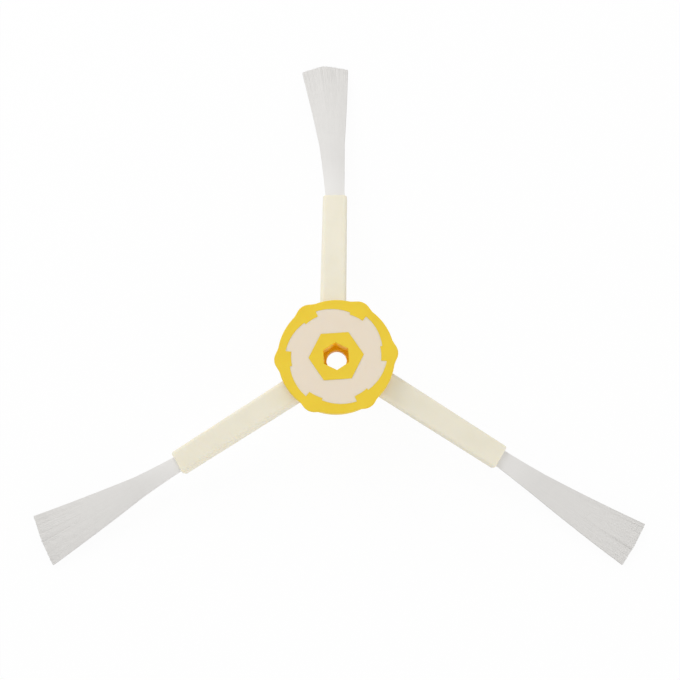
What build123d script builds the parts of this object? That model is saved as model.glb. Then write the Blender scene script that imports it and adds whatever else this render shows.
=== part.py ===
from build123d import *

import os
from math import ceil, cos, radians, sin

# Three-armed side brush of a robot vacuum, lying with its drive side up (+Z).
# The hub turns about Z. The origin is the centre of the screw hole, on the
# face that the screw head bears on. Lengths are millimetres, angles degrees.

# Counts
arm_count = 3
lobe_count = 6
hex_sides = 6

# Hub: rim, and lobes that slope back to it from their tips
rim_radius = 14.9
rim_height = 1.6
rim_edge_radius = 0.3
lobe_tip_radius = 15.95
lobe_radius = 3.6
lobe_blend_radius = 18.0
lobe_slope_angle = 25.0

# Hub: domed floor side below the rim
dome_radius = 13.8
dome_height = 8.6
dome_floor_radius = 10.2
dome_edge_radius = 0.8

# Hub: drive post, hexagonal socket, screw web and screw head recess
post_across_flats = 12.2
post_proud = 0.1
post_edge_break = 0.1
socket_across_flats = 6.3
socket_depth = 4.5
socket_edge_break = 0.1
web_thickness = 1.5
screw_hole_diameter = 5.2
recess_diameter = 9.0
recess_edge_break = 0.4

# Trough in the hub that the elastomer ring fills: saw-tooth outline at the
# rim, plain circle below it
tab_radius = 11.45
tab_lead_angle = 9.8
tab_trail_angle = 8.9
ramp_start_radius = 12.0
ramp_end_radius = 12.9
trough_radius = 10.8
trough_floor_thickness = 2.2
ring_recess = 0.05

# Arms: rounded bars that leave the hub midway between two lobes
arm_root_radius = 14.5
arm_depth = 6.3
first_arm_angle = 90.0
arm_sweep_angle = 4.1
arm_droop_angle = 15.0
arm_length = 34.6
arm_root_width = 6.8
arm_end_width = 6.5
arm_root_thickness = 4.0
arm_end_thickness = 3.8
arm_corner_radius = 1.0
arm_end_radius = 0.4

# Tufts: flat fans of nylon filament, gathered into ridged locks
tuft_length = 41.1
tuft_droop_angle = 8.0
tuft_root_width = 4.7
tuft_root_thickness = 1.7
tuft_neck_length = 11.0
tuft_neck_width = 6.0
tuft_neck_thickness = 1.75
tuft_tip_width = 13.2
tuft_tip_thickness = 1.8
tuft_seat_depth = 6.0
tuft_lean_angles = (4.4, -1.3, -1.9)
tuft_tip_skew_angles = (-1.1, -4.5, 1.4)

# Heights, measured from the face under the screw head
drive_face_z = web_thickness + socket_depth
rim_face_z = drive_face_z - post_proud
rim_under_z = rim_face_z - rim_height
hub_floor_z = rim_under_z - dome_height
trough_floor_z = hub_floor_z + trough_floor_thickness
ring_face_z = rim_face_z - ring_recess
arm_root_z = rim_face_z - arm_depth

arm_anchor_radius = (post_across_flats / 2 + trough_radius) / 2

# Planes that the sketches lie on
drive_plane = Plane.XY.offset(drive_face_z)
rim_plane = Plane.XY.offset(rim_face_z)
rim_under_plane = Plane.XY.offset(rim_under_z)
ring_plane = Plane.XY.offset(ring_face_z)

# Locks in a tuft: neighbours overlap by about a quarter of their thickness
lock_pitch_ratio = 0.72
lock_count = ceil(tuft_tip_width / (tuft_tip_thickness * lock_pitch_ratio))


def polar(radius, angle):
    """Point of the XY plane at a radius and an angle from +X."""
    return (radius * cos(radians(angle)), radius * sin(radians(angle)))


def bar_plane(origin, heading, droop):
    """Plane across a drooping bar: local X across it, local Y up, Z outward."""
    across = (-sin(radians(heading)), cos(radians(heading)), 0)
    level = cos(radians(droop))
    outward = (level * cos(radians(heading)), level * sin(radians(heading)), -sin(radians(droop)))
    return Plane(origin=origin, x_dir=across, z_dir=outward)


def draw_post_section(mode):
    """Hexagon of the drive post, with a corner towards each lobe."""
    RegularPolygon(post_across_flats / 2, hex_sides, major_radius=False, mode=mode)


def draw_saw_tooth_ring():
    """Ring between the drive post and the six saw-tooth tabs under the lobes."""
    tooth_angle = 360 / lobe_count
    with BuildLine() as outline:
        for tooth in range(lobe_count):
            lobe_angle = tooth * tooth_angle
            ramp_start = lobe_angle + tab_trail_angle
            ramp_end = lobe_angle + tooth_angle - tab_lead_angle
            tab = CenterArc((0, 0), tab_radius, lobe_angle - tab_lead_angle, tab_lead_angle + tab_trail_angle)
            ramp = ThreePointArc(
                polar(ramp_start_radius, ramp_start),
                polar((ramp_start_radius + ramp_end_radius) / 2, (ramp_start + ramp_end) / 2),
                polar(ramp_end_radius, ramp_end),
            )
            Line(tab @ 1, ramp @ 0)
            Line(ramp @ 1, polar(tab_radius, ramp_end))
    make_face(outline.edges())
    draw_post_section(Mode.SUBTRACT)


def draw_plain_ring():
    """Ring between the drive post and the round wall of the trough."""
    Circle(trough_radius)
    draw_post_section(Mode.SUBTRACT)


def draw_arm_section(width, thickness):
    """Cross-section of an arm."""
    RectangleRounded(width, thickness, arm_corner_radius)


def draw_tuft_seat():
    """Cross-section of the moulded-in root of a tuft."""
    SlotOverall(tuft_root_width, tuft_root_thickness)


def draw_lock_row(width, thickness):
    """Row of overlapping six-sided locks, ridges up and down, that a slice of the tuft shows."""
    lock_width = thickness * cos(radians(180 / hex_sides))
    with GridLocations((width - lock_width) / (lock_count - 1), 0, lock_count, 1):
        RegularPolygon(thickness / 2, hex_sides, rotation=180 / hex_sides)


def arm_plane(azimuth, distance):
    """Plane across the arm at an azimuth, a distance outward from where it leaves the hub."""
    x, y = polar(arm_root_radius, azimuth)
    return bar_plane((x, y, arm_root_z), azimuth - arm_sweep_angle, arm_droop_angle).offset(distance)


def tuft_plane(azimuth, lean, distance):
    """Plane across the tuft of the arm at an azimuth, a distance outward from the arm's end."""
    arm_end = arm_plane(azimuth, arm_length).origin
    return bar_plane(arm_end, azimuth - arm_sweep_angle + lean, tuft_droop_angle).offset(distance)


# One arm, from its anchorage in the ring to its free end
with BuildPart() as arm:
    with BuildSketch(arm_plane(first_arm_angle, arm_anchor_radius - arm_root_radius)):
        draw_arm_section(arm_root_width, arm_root_thickness)
    with BuildSketch(arm_plane(first_arm_angle, arm_length)):
        draw_arm_section(arm_end_width, arm_end_thickness)
    loft(ruled=True)
    fillet(arm.faces().sort_by(Axis.Y)[-1].edges(), arm_end_radius)

# The room in that arm's end that the root of a tuft is moulded into
with BuildPart() as tuft_seat:
    with BuildSketch(arm_plane(first_arm_angle, arm_length)):
        draw_tuft_seat()
    extrude(amount=-tuft_seat_depth)

# Disc with the six lobes of the rim
with BuildPart() as lobed_disc:
    with BuildSketch(rim_plane) as lobe_outline:
        Circle(rim_radius)
        with PolarLocations(lobe_tip_radius - lobe_radius, lobe_count):
            Circle(lobe_radius)
        fillet(lobe_outline.vertices(), lobe_blend_radius)
    extrude(amount=-rim_height, taper=lobe_slope_angle)
    fillet(lobed_disc.edges().group_by(Axis.Z)[-1], rim_edge_radius)

# Hub: one hard plastic moulding
with BuildPart() as hub:
    with BuildSketch(rim_plane):
        Circle(rim_radius)
    extrude(amount=-rim_height)
    fillet(hub.edges().group_by(Axis.Z)[-1], rim_edge_radius)
    add(lobed_disc.part)
    with BuildSketch(Plane.XZ) as dome_profile:
        with BuildLine():
            dome_top = Line((0, rim_under_z), (dome_radius, rim_under_z))
            dome_side = TangentArc(dome_top @ 1, (dome_floor_radius, hub_floor_z), tangent=(0, -1))
            dome_floor = Line(dome_side @ 1, (0, hub_floor_z))
            Line(dome_floor @ 1, dome_top @ 0)
        make_face()
    revolve(axis=Axis.Z)
    fillet(hub.edges().group_by(Axis.Z)[0], dome_edge_radius)
    # Trough for the elastomer ring, open towards the robot
    with BuildSketch(rim_plane):
        draw_saw_tooth_ring()
    extrude(amount=-rim_height, mode=Mode.SUBTRACT)
    with BuildSketch(rim_under_plane):
        draw_plain_ring()
    extrude(amount=trough_floor_z - rim_under_z, mode=Mode.SUBTRACT)
    # Drive post, proud of the rim
    with BuildSketch(rim_plane):
        draw_post_section(Mode.ADD)
    extrude(amount=post_proud)
    chamfer(hub.edges().group_by(Axis.Z)[-1], post_edge_break)
    # Hexagonal socket, a corner of it towards each flat of the post
    with BuildSketch(drive_plane):
        RegularPolygon(socket_across_flats / 2, hex_sides, major_radius=False, rotation=180 / hex_sides)
    extrude(amount=-socket_depth, mode=Mode.SUBTRACT)
    socket_mouth = hub.faces().sort_by(Axis.Z)[-1].inner_wires()[0]
    chamfer(socket_mouth.edges(), socket_edge_break)
    # Screw hole, and the round recess of the screw head on the floor side
    with BuildSketch(Plane.XY):
        Circle(screw_hole_diameter / 2)
    extrude(amount=web_thickness, mode=Mode.SUBTRACT)
    with BuildSketch(Plane.XY):
        Circle(recess_diameter / 2)
    extrude(amount=hub_floor_z, mode=Mode.SUBTRACT)
    recess_mouth = hub.faces().sort_by(Axis.Z)[0].inner_wires()[0]
    chamfer(recess_mouth.edges(), recess_edge_break)
    # Side windows that the arms pass through
    with PolarLocations(0, arm_count):
        add(arm.part, mode=Mode.SUBTRACT)
hub.part.label = "hub"

# Arm spider: ring and arms in one elastomer overmoulding
with BuildPart() as arm_spider:
    with BuildSketch(ring_plane):
        draw_saw_tooth_ring()
    extrude(amount=rim_under_z - ring_face_z)
    with BuildSketch(rim_under_plane):
        draw_plain_ring()
    extrude(amount=trough_floor_z - rim_under_z)
    with PolarLocations(0, arm_count):
        add(arm.part)
    with PolarLocations(0, arm_count):
        add(tuft_seat.part, mode=Mode.SUBTRACT)
arm_spider.part.label = "arm_spider"

os.makedirs("parts", exist_ok=True)
export_step(hub.part, "parts/hub.step")
export_step(arm_spider.part, "parts/arm_spider.step")

# Tufts: a root inside the arm, and a fan of locks from the arm's end to the cut tip
for number, lean in enumerate(tuft_lean_angles):
    azimuth = first_arm_angle + number * 360 / arm_count
    tip_cut = (0, 0, tuft_tip_skew_angles[number])
    tuft_name = f"tuft_{number + 1}"
    with BuildPart() as tuft:
        with BuildSketch(arm_plane(azimuth, arm_length)):
            draw_lock_row(tuft_root_width, tuft_root_thickness)
        with BuildSketch(tuft_plane(azimuth, lean, tuft_neck_length)):
            draw_lock_row(tuft_neck_width, tuft_neck_thickness)
        with BuildSketch(tuft_plane(azimuth, lean, tuft_length).rotated(tip_cut)):
            draw_lock_row(tuft_tip_width, tuft_tip_thickness)
        loft(ruled=True)
        with BuildSketch(arm_plane(azimuth, arm_length)):
            draw_tuft_seat()
        extrude(amount=-tuft_seat_depth)
    tuft.part.label = tuft_name
    export_step(tuft.part, f"parts/{tuft_name}.step")
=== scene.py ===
"""Robot vacuum side brush: finishes, filament tufts, studio light and camera.

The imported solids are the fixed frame. The hub and the arm spider keep their
solids and get finishes, and the filaments of each tuft stand for its solid.
Sizes are millimetres and angles degrees, until a value goes into the scene,
which is in metres.
"""

import logging
import math
import random
from dataclasses import dataclass
from enum import Enum
from typing import Mapping, Optional, Union

import bpy
from mathutils import Matrix, Vector


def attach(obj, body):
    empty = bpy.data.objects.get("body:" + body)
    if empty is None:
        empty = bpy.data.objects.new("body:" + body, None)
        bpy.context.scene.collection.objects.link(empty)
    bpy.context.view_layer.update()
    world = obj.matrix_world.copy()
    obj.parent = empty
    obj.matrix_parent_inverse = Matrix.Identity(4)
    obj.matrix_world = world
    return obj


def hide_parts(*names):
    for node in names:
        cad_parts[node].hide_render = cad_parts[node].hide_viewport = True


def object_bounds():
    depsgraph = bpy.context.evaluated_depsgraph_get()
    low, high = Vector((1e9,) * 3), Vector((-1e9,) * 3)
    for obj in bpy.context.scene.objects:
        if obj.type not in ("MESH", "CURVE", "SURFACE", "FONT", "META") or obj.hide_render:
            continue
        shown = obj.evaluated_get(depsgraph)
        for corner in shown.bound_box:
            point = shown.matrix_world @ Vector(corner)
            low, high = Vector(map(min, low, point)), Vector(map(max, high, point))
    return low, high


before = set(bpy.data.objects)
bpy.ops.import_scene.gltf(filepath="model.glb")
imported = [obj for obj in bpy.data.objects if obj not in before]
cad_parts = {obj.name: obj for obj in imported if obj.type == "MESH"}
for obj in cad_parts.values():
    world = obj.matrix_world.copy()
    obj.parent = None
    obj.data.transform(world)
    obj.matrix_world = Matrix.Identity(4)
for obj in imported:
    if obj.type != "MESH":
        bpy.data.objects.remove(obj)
cad_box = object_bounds()

MM = 0.001
QUARTER_TURN = 90.0
BODY = "root"
PHOTO_PIXELS = 680

# Curve from an sRGB value to linear light
CHANNEL_MAX = 255
SRGB_KNEE = 0.04045
SRGB_SLOPE = 12.92
SRGB_OFFSET = 0.055
SRGB_POWER = 2.4

# Sockets of the colour Mix node, which share their names with its other kinds
MIX_FACTOR = 0
MIX_FIRST = 6
MIX_SECOND = 7
MIX_RESULT = 2

# Strength at which a surface that gives light is seen as white
SEEN_WHITE = 1.0

log = logging.getLogger("side_brush")

Colour = tuple[float, float, float, float]
Triple = tuple[float, float, float]
Feed = Union[float, Triple, Colour, bpy.types.NodeSocket]


class Node(str, Enum):
    """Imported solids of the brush."""

    HUB = "hub"
    ARM_SPIDER = "arm_spider"
    TOP_TUFT = "tuft_1"
    LEFT_TUFT = "tuft_2"
    RIGHT_TUFT = "tuft_3"


class Slot(str, Enum):
    """Material slots of the record, for the finish of new pieces; none is used here."""

    NYLON_FILAMENT = "nylon_filament"


def linear(hex_colour: str) -> Colour:
    """Turn an sRGB hex colour into linear RGBA.

    Args:
        hex_colour: Colour such as "#E8C840".

    Returns:
        Red, green, blue and an alpha of 1.
    """
    channels = []
    for start in (1, 3, 5):
        share = int(hex_colour[start:start + 2], 16) / CHANNEL_MAX
        if share <= SRGB_KNEE:
            channels.append(share / SRGB_SLOPE)
        else:
            channels.append(((share + SRGB_OFFSET) / (1 + SRGB_OFFSET)) ** SRGB_POWER)
    return (*channels, 1.0)


def add_node(
    tree: bpy.types.NodeTree,
    kind: str,
    feeds: Optional[Mapping[Union[int, str], Feed]] = None,
    **settings: object,
) -> bpy.types.Node:
    """Add one node with its settings, and feed its sockets.

    Args:
        tree: Node tree of a material or of the world.
        kind: Type of the node.
        feeds: Value or source socket for each input socket.
        **settings: Properties of the node itself.

    Returns:
        The new node.
    """
    node = tree.nodes.new(kind)
    for name, value in settings.items():
        setattr(node, name, value)
    for socket, feed in (feeds or {}).items():
        if isinstance(feed, bpy.types.NodeSocket):
            tree.links.new(feed, node.inputs[socket])
        else:
            node.inputs[socket].default_value = feed
    return node


def new_material(name: str) -> bpy.types.Material:
    """Make a material with an empty node tree.

    Args:
        name: Name of the material.

    Returns:
        The new material.
    """
    material = bpy.data.materials.new(name)
    material.use_nodes = True
    material.node_tree.nodes.clear()
    return material


def seen_directly(tree: bpy.types.NodeTree) -> bpy.types.NodeSocket:
    """Tell rays that show the surroundings from rays that light the brush.

    Args:
        tree: Node tree of a material or of the world.

    Returns:
        Socket that is 1 for camera, glossy and transmission rays and 0 for others.
    """
    ray = add_node(tree, "ShaderNodeLightPath").outputs
    shown = ray["Is Camera Ray"]
    for kind in ("Is Glossy Ray", "Is Transmission Ray"):
        either = add_node(tree, "ShaderNodeMath", {0: shown, 1: ray[kind]}, operation="MAXIMUM")
        shown = either.outputs["Value"]
    return shown


def axis_distance(tree: bpy.types.NodeTree, place: bpy.types.NodeSocket) -> bpy.types.NodeSocket:
    """Measure how far a place is from the axis that the brush turns about.

    Args:
        tree: Node tree of a material.
        place: Socket of the place, in the shared frame.

    Returns:
        Socket of the distance, in metres.
    """
    level = add_node(tree, "ShaderNodeVectorMath", {0: place, 1: (1.0, 1.0, 0.0)}, operation="MULTIPLY")
    radius = add_node(tree, "ShaderNodeVectorMath", {0: level.outputs["Vector"]}, operation="LENGTH")
    return radius.outputs["Value"]


def per_metre(feature_mm: float) -> float:
    """Scale of a texture whose features are that many millimetres wide."""
    return 1 / (feature_mm * MM)


def outward(heading: float, droop: float) -> Vector:
    """Unit vector along a heading from +X that drops by an angle.

    Args:
        heading: Angle from +X towards +Y.
        droop: Angle below the horizon.

    Returns:
        The unit vector.
    """
    level = math.cos(math.radians(droop))
    turn = math.radians(heading)
    return Vector((level * math.cos(turn), level * math.sin(turn), -math.sin(math.radians(droop))))


def dress_solid(node: Node, material: bpy.types.Material) -> bpy.types.Object:
    """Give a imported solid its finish.

    Args:
        node: The solid.
        material: Its finish.

    Returns:
        The solid's object.
    """
    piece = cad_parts[node.value]
    piece.data.materials.clear()
    piece.data.materials.append(material)
    return piece


@dataclass(frozen=True)
class MouldedPolypropylene:
    """Yellow polypropylene, injection moulded against a fine spark-eroded tool.

    It gives the eye a saturated, slightly waxy yellow with a soft sheen and faint
    flow clouds, and a painted orange depth in the socket for light that bounces between its yellow walls.
    """

    name: str = "moulded_polypropylene"
    pale: str = "#F0D13D"
    deep: str = "#E6C533"
    ior: float = 1.49
    # Half the usual gloss, because the eroded texture scatters the rest
    gloss_level: float = 0.25
    smooth_roughness: float = 0.38
    rough_roughness: float = 0.52
    flow_mm: float = 7.0
    flow_detail: float = 3.0
    # The tool's real grit is near 0.05 mm, so it is drawn coarser to show
    grit_mm: float = 0.35
    grit_detail: float = 2.0
    grit_depth_mm: float = 0.006
    scatter_mm: float = 0.25
    scatter_weight: float = 0.2
    # The pigment lets red light in furthest and blue hardly at all
    scatter_shares: Triple = (1.0, 0.6, 0.1)
    # Painted bounce light: the socket's walls are painted a deeper, redder yellow that stands in for light
    # bounced between them
    socket: str = "#FFCE10"
    socket_radius_mm: float = 3.75
    socket_mouth_mm: float = 5.85

    def material(self) -> bpy.types.Material:
        """Build the material.

        Returns:
            The material, ready to assign.
        """
        material = new_material(self.name)
        tree = material.node_tree
        place = add_node(tree, "ShaderNodeTexCoord").outputs["Object"]
        flow = add_node(
            tree,
            "ShaderNodeTexNoise",
            {"Vector": place, "Scale": per_metre(self.flow_mm), "Detail": self.flow_detail},
        )
        grit = add_node(
            tree,
            "ShaderNodeTexNoise",
            {"Vector": place, "Scale": per_metre(self.grit_mm), "Detail": self.grit_detail},
        )
        clouds = add_node(
            tree,
            "ShaderNodeMix",
            {
                MIX_FACTOR: flow.outputs["Fac"],
                MIX_FIRST: linear(self.deep),
                MIX_SECOND: linear(self.pale),
            },
            data_type="RGBA",
        )
        # Painted bounce light: inside the socket the yellow is swapped for the deeper socket colour
        near_axis = add_node(
            tree,
            "ShaderNodeMath",
            {0: axis_distance(tree, place), 1: self.socket_radius_mm * MM},
            operation="LESS_THAN",
        )
        height = add_node(tree, "ShaderNodeSeparateXYZ", {"Vector": place}).outputs["Z"]
        inside = add_node(
            tree, "ShaderNodeMath", {0: height, 1: self.socket_mouth_mm * MM}, operation="LESS_THAN"
        )
        painted_bounce_mask = add_node(
            tree,
            "ShaderNodeMath",
            {0: near_axis.outputs["Value"], 1: inside.outputs["Value"]},
            operation="MULTIPLY",
        )
        colour = add_node(
            tree,
            "ShaderNodeMix",
            {
                MIX_FACTOR: painted_bounce_mask.outputs["Value"],
                MIX_FIRST: clouds.outputs[MIX_RESULT],
                MIX_SECOND: linear(self.socket),
            },
            data_type="RGBA",
        )
        roughness = add_node(
            tree,
            "ShaderNodeMapRange",
            {
                "Value": grit.outputs["Fac"],
                "To Min": self.smooth_roughness,
                "To Max": self.rough_roughness,
            },
        )
        relief = add_node(
            tree, "ShaderNodeBump", {"Height": grit.outputs["Fac"], "Distance": self.grit_depth_mm * MM}
        )
        surface = add_node(
            tree,
            "ShaderNodeBsdfPrincipled",
            {
                "Base Color": colour.outputs[MIX_RESULT],
                "Roughness": roughness.outputs["Result"],
                "Normal": relief.outputs["Normal"],
                "IOR": self.ior,
                "Specular IOR Level": self.gloss_level,
                "Subsurface Weight": self.scatter_weight,
                "Subsurface Radius": self.scatter_shares,
                "Subsurface Scale": self.scatter_mm * MM,
            },
        )
        add_node(tree, "ShaderNodeOutputMaterial", {"Surface": surface.outputs["BSDF"]})
        return material


@dataclass(frozen=True)
class ThermoplasticElastomer:
    """Cream thermoplastic elastomer, moulded over the hub with a matt skin.

    It gives the eye a soft, slightly clear ivory with almost no sheen, faint
    mottling, and a painted warmer, slightly darker tint for the yellow light of the hub showing through
    the ring.
    """

    name: str = "moulded_thermoplastic_elastomer"
    pale: str = "#EEE9D9"
    deep: str = "#E8E2CE"
    # Painted light: a warmer, slightly darker cream over the hub, for yellow light from the hub coming
    # through the ring
    painted_hub_glow: str = "#E8DAC7"
    hub_edge_mm: float = 13.6
    hub_fade_mm: float = 2.0
    painted_glow_share: float = 0.85
    ior: float = 1.50
    smooth_roughness: float = 0.55
    rough_roughness: float = 0.70
    mottle_mm: float = 5.0
    mottle_detail: float = 4.0
    # The matt skin's real grain is near 0.03 mm, so it is drawn coarser to show
    grain_mm: float = 0.30
    grain_detail: float = 2.0
    grain_depth_mm: float = 0.008
    scatter_mm: float = 0.6
    scatter_weight: float = 0.6
    # Cream takes a little of the blue light that enters it
    scatter_shares: Triple = (1.0, 0.9, 0.7)

    def material(self) -> bpy.types.Material:
        """Build the material.

        Returns:
            The material, ready to assign.
        """
        material = new_material(self.name)
        tree = material.node_tree
        place = add_node(tree, "ShaderNodeTexCoord").outputs["Object"]
        mottle = add_node(
            tree,
            "ShaderNodeTexNoise",
            {"Vector": place, "Scale": per_metre(self.mottle_mm), "Detail": self.mottle_detail},
        )
        grain = add_node(
            tree,
            "ShaderNodeTexNoise",
            {"Vector": place, "Scale": per_metre(self.grain_mm), "Detail": self.grain_detail},
        )
        skin = add_node(
            tree,
            "ShaderNodeMix",
            {
                MIX_FACTOR: mottle.outputs["Fac"],
                MIX_FIRST: linear(self.deep),
                MIX_SECOND: linear(self.pale),
            },
            data_type="RGBA",
        )
        # Painted light: near the axis the cream fades into the warmer colour of the hub's light through
        # the ring
        painted_hub_glow = add_node(
            tree,
            "ShaderNodeMapRange",
            {
                "Value": axis_distance(tree, place),
                "From Min": (self.hub_edge_mm + self.hub_fade_mm) * MM,
                "From Max": self.hub_edge_mm * MM,
                "To Max": self.painted_glow_share,
            },
        )
        colour = add_node(
            tree,
            "ShaderNodeMix",
            {
                MIX_FACTOR: painted_hub_glow.outputs["Result"],
                MIX_FIRST: skin.outputs[MIX_RESULT],
                MIX_SECOND: linear(self.painted_hub_glow),
            },
            data_type="RGBA",
        )
        roughness = add_node(
            tree,
            "ShaderNodeMapRange",
            {
                "Value": grain.outputs["Fac"],
                "To Min": self.smooth_roughness,
                "To Max": self.rough_roughness,
            },
        )
        relief = add_node(
            tree, "ShaderNodeBump", {"Height": grain.outputs["Fac"], "Distance": self.grain_depth_mm * MM}
        )
        surface = add_node(
            tree,
            "ShaderNodeBsdfPrincipled",
            {
                "Base Color": colour.outputs[MIX_RESULT],
                "Roughness": roughness.outputs["Result"],
                "Normal": relief.outputs["Normal"],
                "IOR": self.ior,
                "Subsurface Weight": self.scatter_weight,
                "Subsurface Radius": self.scatter_shares,
                "Subsurface Scale": self.scatter_mm * MM,
            },
        )
        add_node(tree, "ShaderNodeOutputMaterial", {"Surface": surface.outputs["BSDF"]})
        return material


@dataclass(frozen=True)
class DrawnNylonFilament:
    """White nylon, drawn through a die into smooth round filaments.

    It gives the eye a milky white with a silky glint along each filament, and
    faint streaks where some filaments are clearer than their neighbours.
    """

    name: str = "drawn_nylon_filament"
    pale: str = "#E5E3E0"
    deep: str = "#DFDDDA"
    # Painted light: near the arm the filaments are painted whiter, to lift the shade that the arm's end
    # casts on them
    root: str = "#EDEBE8"
    root_mm: float = 48.0
    root_fade_mm: float = 12.0
    ior: float = 1.53
    roughness: float = 0.35
    clear_share: float = 0.05
    streak_mm: float = 1.6
    streak_detail: float = 2.0
    streak_share: float = 0.5

    def material(self) -> bpy.types.Material:
        """Build the material.

        Returns:
            The material, ready to assign.
        """
        material = new_material(self.name)
        tree = material.node_tree
        place = add_node(tree, "ShaderNodeTexCoord").outputs["Object"]
        streak = add_node(
            tree,
            "ShaderNodeTexNoise",
            {"Vector": place, "Scale": per_metre(self.streak_mm), "Detail": self.streak_detail},
        )
        filament = add_node(tree, "ShaderNodeNewGeometry").outputs["Random Per Island"]
        clearness = add_node(
            tree,
            "ShaderNodeMix",
            {"Factor": self.streak_share, "A": filament, "B": streak.outputs["Fac"]},
            data_type="FLOAT",
        )
        streaks = add_node(
            tree,
            "ShaderNodeMix",
            {
                MIX_FACTOR: clearness.outputs["Result"],
                MIX_FIRST: linear(self.deep),
                MIX_SECOND: linear(self.pale),
            },
            data_type="RGBA",
        )
        # Painted light: whiter filaments close to the arm, fading out over root_fade_mm
        painted_root_light_mask = add_node(
            tree,
            "ShaderNodeMapRange",
            {
                "Value": axis_distance(tree, place),
                "From Min": (self.root_mm + self.root_fade_mm) * MM,
                "From Max": self.root_mm * MM,
            },
        )
        colour = add_node(
            tree,
            "ShaderNodeMix",
            {
                MIX_FACTOR: painted_root_light_mask.outputs["Result"],
                MIX_FIRST: streaks.outputs[MIX_RESULT],
                MIX_SECOND: linear(self.root),
            },
            data_type="RGBA",
        )
        surface = add_node(
            tree,
            "ShaderNodeBsdfPrincipled",
            {
                "Base Color": colour.outputs[MIX_RESULT],
                "Roughness": self.roughness,
                "IOR": self.ior,
            },
        )
        through = add_node(tree, "ShaderNodeBsdfTranslucent", {"Color": colour.outputs[MIX_RESULT]})
        milky = add_node(
            tree,
            "ShaderNodeMixShader",
            {0: self.clear_share, 1: surface.outputs["BSDF"], 2: through.outputs["BSDF"]},
        )
        add_node(tree, "ShaderNodeOutputMaterial", {"Surface": milky.outputs["Shader"]})
        return material


@dataclass(frozen=True)
class StudioPaper:
    """White seamless paper, which the camera sees as white with a faint shadow."""

    name: str = "seamless_paper"
    colour: str = "#F4F4F4"
    white_share: float = 0.95

    def material(self) -> bpy.types.Material:
        """Build the material.

        Returns:
            The material, ready to assign.
        """
        material = new_material(self.name)
        tree = material.node_tree
        share = add_node(
            tree, "ShaderNodeMath", {0: seen_directly(tree), 1: self.white_share}, operation="MULTIPLY"
        )
        paper = add_node(tree, "ShaderNodeBsdfDiffuse", {"Color": linear(self.colour)})
        white = add_node(tree, "ShaderNodeEmission", {"Strength": SEEN_WHITE})
        surface = add_node(
            tree,
            "ShaderNodeMixShader",
            {0: share.outputs["Value"], 1: paper.outputs["BSDF"], 2: white.outputs["Emission"]},
        )
        add_node(tree, "ShaderNodeOutputMaterial", {"Surface": surface.outputs["Shader"]})
        return material


@dataclass(frozen=True)
class Hub:
    """Hard yellow moulding with the drive post, whose solid stays in view."""

    node: Node = Node.HUB
    finish: MouldedPolypropylene = MouldedPolypropylene()

    def dress(self) -> bpy.types.Object:
        """Give the hub's solid its finish, and return its object."""
        return dress_solid(self.node, self.finish.material())


@dataclass(frozen=True)
class ArmSpider:
    """Cream overmoulding of the ring and three arms, whose solid stays in view.

    Its sizes are those of the solid, and say where the tufts start.
    """

    node: Node = Node.ARM_SPIDER
    finish: ThermoplasticElastomer = ThermoplasticElastomer()
    root_radius: float = 14.5
    root_height: float = -0.4
    sweep: float = 4.1
    droop: float = 15.0
    length: float = 34.6

    def dress(self) -> bpy.types.Object:
        """Give the spider's solid its finish, and return its object."""
        return dress_solid(self.node, self.finish.material())

    def heading(self, azimuth: float) -> float:
        """Heading of the arm that leaves the hub at an azimuth."""
        return azimuth - self.sweep

    def end(self, azimuth: float) -> Vector:
        """Find the middle of an arm's end face.

        Args:
            azimuth: Where the arm leaves the hub.

        Returns:
            The point, in millimetres.
        """
        root = self.root_radius * outward(azimuth, 0.0)
        root.z = self.root_height
        return root + self.length * outward(self.heading(azimuth), self.droop)


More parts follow.
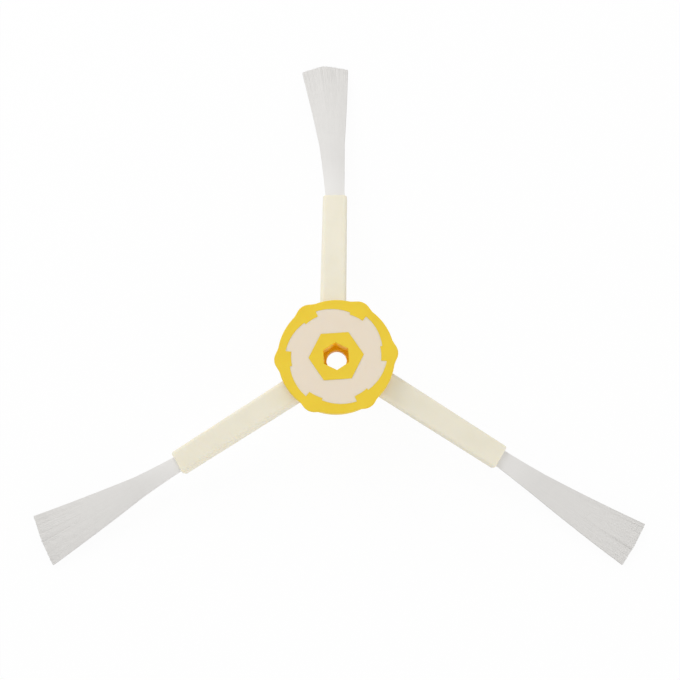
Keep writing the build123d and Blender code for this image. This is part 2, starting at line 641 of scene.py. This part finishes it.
@dataclass(frozen=True)
class FilamentTuft:
    """One flat fan of nylon filaments, moulded into the end of an arm.

    A place along the fan is counted from the arm's end. A place across it or
    through it runs from -1 at one side to 1 at the other.
    """

    node: Node
    azimuth: float
    lean: float
    bow: float
    length: float
    root_width: float
    neck_length: float
    neck_width: float
    tip_width: float
    tip_skew: float
    tip_crown: float
    crown_peak: float = 0.05
    droop: float = 8.0
    root_thickness: float = 1.7
    tip_thickness: float = 1.6
    side_thickness_share: float = 0.5
    seat_depth: float = 2.0
    # Enough filaments to close the fan, so neighbours overlap, most of all at its root
    columns: int = 140
    layers: int = 4
    locks: int = 10
    lock_pull: float = 0.03
    diameter: float = 0.17
    sides: int = 6
    rings: int = 12
    # Rings this close to both ends keep the round shading off the cut
    end_ring: float = 0.15
    stray: float = 0.02
    jostle: float = 0.5
    uneven_cut: float = 0.06
    seed: int = 7

    def width(self, along: float) -> float:
        """Width of the fan at a place along it.

        Args:
            along: Distance from the arm's end.

        Returns:
            The width.
        """
        if along < self.neck_length:
            share = max(along, 0.0) / self.neck_length
            return self.root_width + share * (self.neck_width - self.root_width)
        share = (along - self.neck_length) / (self.length - self.neck_length)
        return self.neck_width + share * (self.tip_width - self.neck_width)

    def thickness(self, along: float) -> float:
        """Thickness of the fan's middle at a place along it."""
        share = max(along, 0.0) / self.length
        return self.root_thickness + share * (self.tip_thickness - self.root_thickness)

    def cut_length(self, across: float) -> float:
        """Length of the filaments at a place across the fan.

        Args:
            across: Place across the fan, from -1 to 1.

        Returns:
            Distance from the arm's end to the cut.
        """
        slant = -math.tan(math.radians(self.tip_skew)) * across * self.tip_width / 2
        side = 1 + self.crown_peak if across < self.crown_peak else 1 - self.crown_peak
        roof = 1 - abs(across - self.crown_peak) / side
        # The crown stands half above the fan's mean length and half below it
        return self.length + slant + self.tip_crown * (roof - 0.5)

    def stations(self, cut: float) -> list[float]:
        """Share a filament's rings out, evenly but for one close to each end.

        Args:
            cut: Distance from the arm's end to the cut.

        Returns:
            Distances of the rings from the arm's end.
        """
        first = self.end_ring - self.seat_depth
        step = (cut - self.end_ring - first) / (self.rings - 3)
        return [-self.seat_depth, *(first + step * i for i in range(self.rings - 2)), cut]

    def filament_path(self, across: float, above: float, chance: random.Random) -> list[Triple]:
        """Lay one filament out from inside the arm to the cut.

        Args:
            across: Its place across the fan, from -1 to 1.
            above: Its place through the fan, from -1 to 1.
            chance: Source of small irregularities.

        Returns:
            Points as (along, sideways, upward) millimetres.
        """
        # Middle of the lock that the filament is gathered into
        lock = (math.floor((across + 1) / 2 * self.locks) + 0.5) / self.locks * 2 - 1
        drift = chance.gauss(0.0, self.stray)
        lift = chance.gauss(0.0, self.stray)
        cut = self.cut_length(across) + chance.gauss(0.0, self.uneven_cut)
        plump = 1 - (1 - self.side_thickness_share) * across * across
        points = []
        for along in self.stations(cut):
            share = max(along, 0.0) / self.length
            gathered = across + self.lock_pull * share * (lock - across)
            # A parabola that is as high as the bow halfway along
            bow = 4 * self.bow * share * (1 - share)
            sideways = gathered * (self.width(along) - self.diameter) / 2 + bow
            upward = above * (self.thickness(along) * plump - self.diameter) / 2
            points.append((along, sideways + drift * share * share, upward + lift * share * share))
        return points

    def build(self, spider: ArmSpider) -> bpy.types.Object:
        """Build the filaments as one mesh.

        Args:
            spider: The arms that the tufts are moulded into.

        Returns:
            The tuft's object.
        """
        heading = spider.heading(self.azimuth) + self.lean
        origin = spider.end(self.azimuth)
        along_axis = outward(heading, self.droop)
        side_axis = outward(heading + QUARTER_TURN, 0.0)
        up_axis = along_axis.cross(side_axis)
        # Half a step puts a corner on top, because flats side by side shade as a crease
        turns = [2 * math.pi * (side + 0.5) / self.sides for side in range(self.sides)]
        rim = [self.diameter / 2 * (math.cos(t) * side_axis + math.sin(t) * up_axis) for t in turns]
        chance = random.Random(f"{self.node.value}-{self.seed}")
        points = []
        faces = []
        for column in range(self.columns):
            for layer in range(self.layers):
                # Every other layer lies half a pitch aside, and each filament a little off that
                shift = (layer % 2 - 0.5 + chance.uniform(-self.jostle, self.jostle)) / 2
                across = (column + 0.5 + shift) / self.columns * 2 - 1
                above = layer / (self.layers - 1) * 2 - 1
                first = len(points)
                for along, sideways, upward in self.filament_path(across, above, chance):
                    middle = origin + along * along_axis + sideways * side_axis + upward * up_axis
                    points.extend((middle + spoke) * MM for spoke in rim)
                faces.extend(self.skin(first))
        name = self.node.value + "_filaments"
        mesh = bpy.data.meshes.new(name)
        mesh.from_pydata(points, [], faces)
        mesh.shade_smooth()
        piece = bpy.data.objects.new(name, mesh)
        bpy.context.scene.collection.objects.link(piece)
        return piece

    def skin(self, first: int) -> list[list[int]]:
        """Join the rings of one filament into a closed tube.

        Args:
            first: Number of the filament's first point.

        Returns:
            Faces as lists of point numbers.
        """
        faces = [[first + side for side in reversed(range(self.sides))]]
        for ring in range(self.rings - 1):
            low = first + ring * self.sides
            high = low + self.sides
            for side in range(self.sides):
                after = (side + 1) % self.sides
                faces.append([low + side, low + after, high + after, high + side])
        last = first + (self.rings - 1) * self.sides
        faces.append([last + side for side in range(self.sides)])
        return faces

    def dress(self, piece: bpy.types.Object, material: bpy.types.Material) -> None:
        """Give the filaments their finish and fix them to the brush.

        Args:
            piece: The tuft's object.
            material: Finish that the tufts share.
        """
        piece.data.materials.append(material)
        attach(piece, BODY)
        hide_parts(self.node.value)


@dataclass(frozen=True)
class SoftLamp:
    """One square soft box that looks at the brush, in metres."""

    name: str
    place: Triple
    size: float
    watts: float

    def build(self) -> None:
        """Hang the lamp."""
        lamp = bpy.data.lights.new(self.name, "AREA")
        lamp.size = self.size
        lamp.energy = self.watts
        holder = bpy.data.objects.new(self.name, lamp)
        holder.location = self.place
        holder.rotation_euler = (-Vector(self.place)).to_track_quat("-Z", "Y").to_euler()
        bpy.context.scene.collection.objects.link(holder)


@dataclass(frozen=True)
class Studio:
    """White paper floor, soft lamps and even surrounding light, in metres."""

    floor_half: float = 3.0
    paper: StudioPaper = StudioPaper()
    surround_colour: str = "#FFFFFF"
    surround: float = 0.67
    # The key lamp is behind the brush, and two low lamps light the arms' near walls
    lamps: tuple[SoftLamp, ...] = (
        SoftLamp("key_soft_box", (-0.35, 0.59, 0.55), size=0.6, watts=3.3),
        SoftLamp("fill_soft_box", (0.10, -0.80, 0.30), size=0.6, watts=1.1),
        SoftLamp("side_soft_box", (0.70, -0.45, 0.18), size=0.6, watts=1.3),
    )

    def build(self) -> None:
        """Lay the floor, hang the lamps and light the surroundings."""
        self.build_floor()
        for lamp in self.lamps:
            lamp.build()
        self.build_world()

    def build_floor(self) -> None:
        """Lay the paper under the lowest point of the brush."""
        height = cad_box[0].z
        half = self.floor_half
        corners = [(x, y, height) for x, y in ((-half, -half), (half, -half), (half, half), (-half, half))]
        mesh = bpy.data.meshes.new("paper_floor")
        mesh.from_pydata(corners, [], [(0, 1, 2, 3)])
        floor = bpy.data.objects.new("paper_floor", mesh)
        floor.data.materials.append(self.paper.material())
        bpy.context.scene.collection.objects.link(floor)

    def build_world(self) -> None:
        """Make surroundings that light evenly and are seen as white."""
        world = bpy.data.worlds.new("studio_surround")
        world.use_nodes = True
        tree = world.node_tree
        tree.nodes.clear()
        strength = add_node(
            tree,
            "ShaderNodeMapRange",
            {"Value": seen_directly(tree), "To Min": self.surround, "To Max": SEEN_WHITE},
        )
        sky = add_node(
            tree,
            "ShaderNodeBackground",
            {"Color": linear(self.surround_colour), "Strength": strength.outputs["Result"]},
        )
        add_node(tree, "ShaderNodeOutputWorld", {"Surface": sky.outputs["Background"]})
        bpy.context.scene.world = world


@dataclass(frozen=True)
class PhotoCamera:
    """Camera at the photograph's viewing angle.

    The brush is turned, tilted towards the viewer and turned again, and the
    view's centre then lies a little beside its screw hole.
    """

    tilt: float = 15.16
    tilt_heading: float = 4.67
    roll: float = 3.84
    aside: float = -0.85
    above: float = -5.61
    distance: float = 431.4
    focal_pixels: float = 1678.7
    sensor: float = 36.0
    nearest: float = 10.0

    def build(self) -> None:
        """Place the camera and make it the scene's."""
        first_turn = Matrix.Rotation(math.radians(self.roll - self.tilt_heading), 3, "Z")
        tilt = Matrix.Rotation(math.radians(-self.tilt), 3, "X")
        last_turn = Matrix.Rotation(math.radians(self.tilt_heading), 3, "Z")
        turn = last_turn @ tilt @ first_turn
        offset = Vector((self.aside, self.above, -self.distance)) * MM
        lens = bpy.data.cameras.new("photo_camera")
        lens.sensor_width = self.sensor
        lens.lens = self.focal_pixels * self.sensor / PHOTO_PIXELS
        lens.clip_start = self.nearest * MM
        camera = bpy.data.objects.new("photo_camera", lens)
        camera.matrix_world = (Matrix.Translation(offset) @ turn.to_4x4()).inverted()
        bpy.context.scene.collection.objects.link(camera)
        bpy.context.scene.camera = camera


TUFTS = (
    FilamentTuft(
        Node.TOP_TUFT,
        azimuth=90.0,
        lean=4.75,
        bow=-0.36,
        length=40.65,
        root_width=5.0,
        neck_length=16.0,
        neck_width=6.85,
        tip_width=13.05,
        tip_skew=-1.1,
        tip_crown=1.4,
    ),
    FilamentTuft(
        Node.LEFT_TUFT,
        azimuth=210.0,
        lean=-1.3,
        bow=0.3,
        length=40.7,
        root_width=4.0,
        neck_length=11.0,
        neck_width=5.4,
        tip_width=14.1,
        tip_skew=-4.5,
        tip_crown=0.3,
        lock_pull=0.01,
    ),
    FilamentTuft(
        Node.RIGHT_TUFT,
        azimuth=330.0,
        lean=-1.9,
        bow=-0.42,
        length=41.15,
        root_width=4.4,
        neck_length=11.0,
        neck_width=5.85,
        tip_width=12.4,
        tip_skew=1.4,
        tip_crown=0.25,
        lock_pull=0.01,
    ),
)


def main() -> None:
    """Dress the solids, build the tufts, and set the studio and camera."""
    logging.basicConfig(level=logging.INFO, format="%(name)s: %(message)s")
    bpy.context.scene.view_settings.view_transform = "Standard"
    spider = ArmSpider()
    for solid in (Hub(), spider):
        log.info("dressed %s", solid.dress().name)
    nylon = DrawnNylonFilament().material()
    for tuft in TUFTS:
        piece = tuft.build(spider)
        tuft.dress(piece, nylon)
        log.info("built %s with %d faces", piece.name, len(piece.data.polygons))
    Studio().build()
    PhotoCamera().build()


if __name__ == "__main__":
    main()
